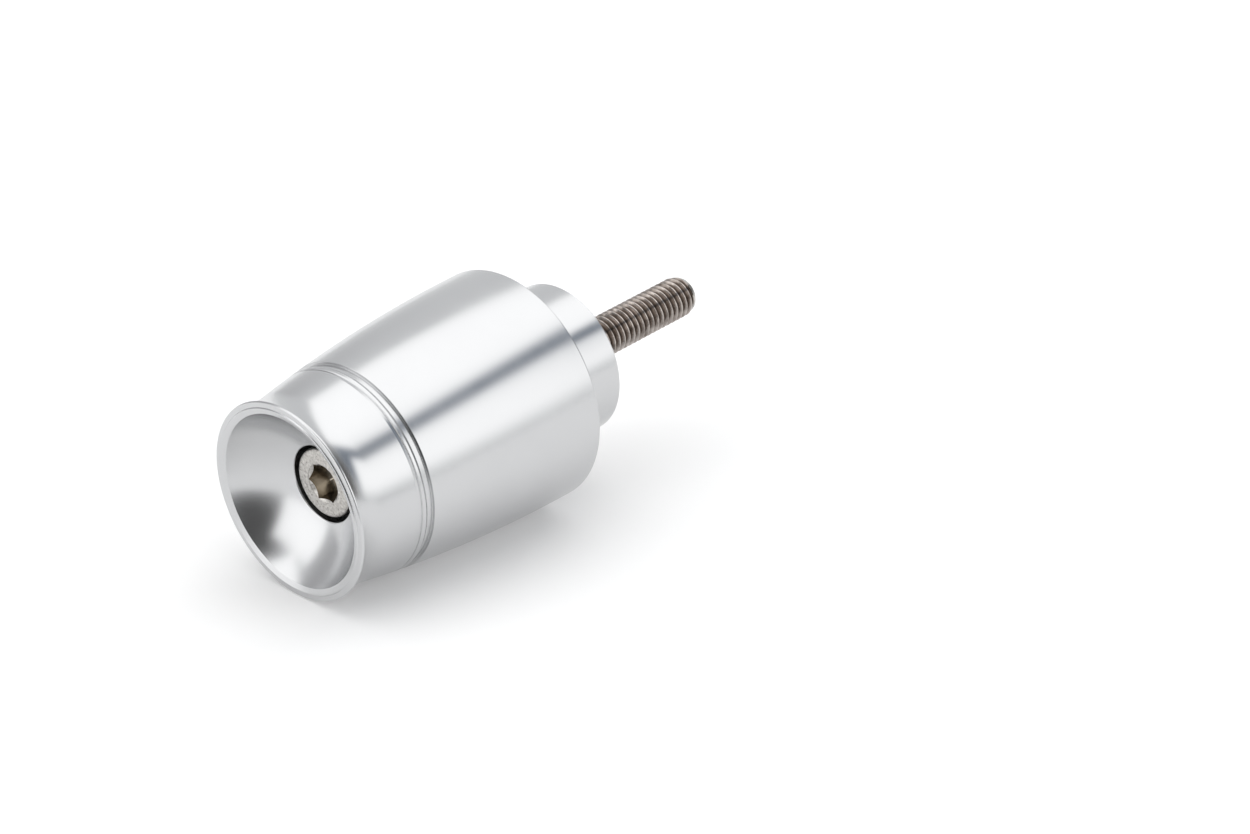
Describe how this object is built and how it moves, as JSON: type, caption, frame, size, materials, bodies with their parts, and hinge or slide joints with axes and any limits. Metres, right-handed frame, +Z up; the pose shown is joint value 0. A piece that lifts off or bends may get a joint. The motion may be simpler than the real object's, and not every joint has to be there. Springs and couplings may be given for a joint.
{
  "type": "handlebar end weight",
  "caption": "Turned aluminium handlebar end weight with a flared, cupped outer end and a long socket head screw.",
  "frame": {"origin": "centre of the seat face that meets the end of the handlebar, on the turning axis", "axes": "+Y along the turning axis towards the screw's thread, so the cup opens to -Y; +Z up"},
  "size_m": [0.0342, 0.0774, 0.0342],
  "materials": {
    "body_aluminium": "fine turned, silver anodised",
    "screw_steel": "plain stainless steel"
  },
  "bodies": {
    "root": {"weight_body": "body_aluminium", "socket_screw": "screw_steel"}
  },
  "joints": []
}
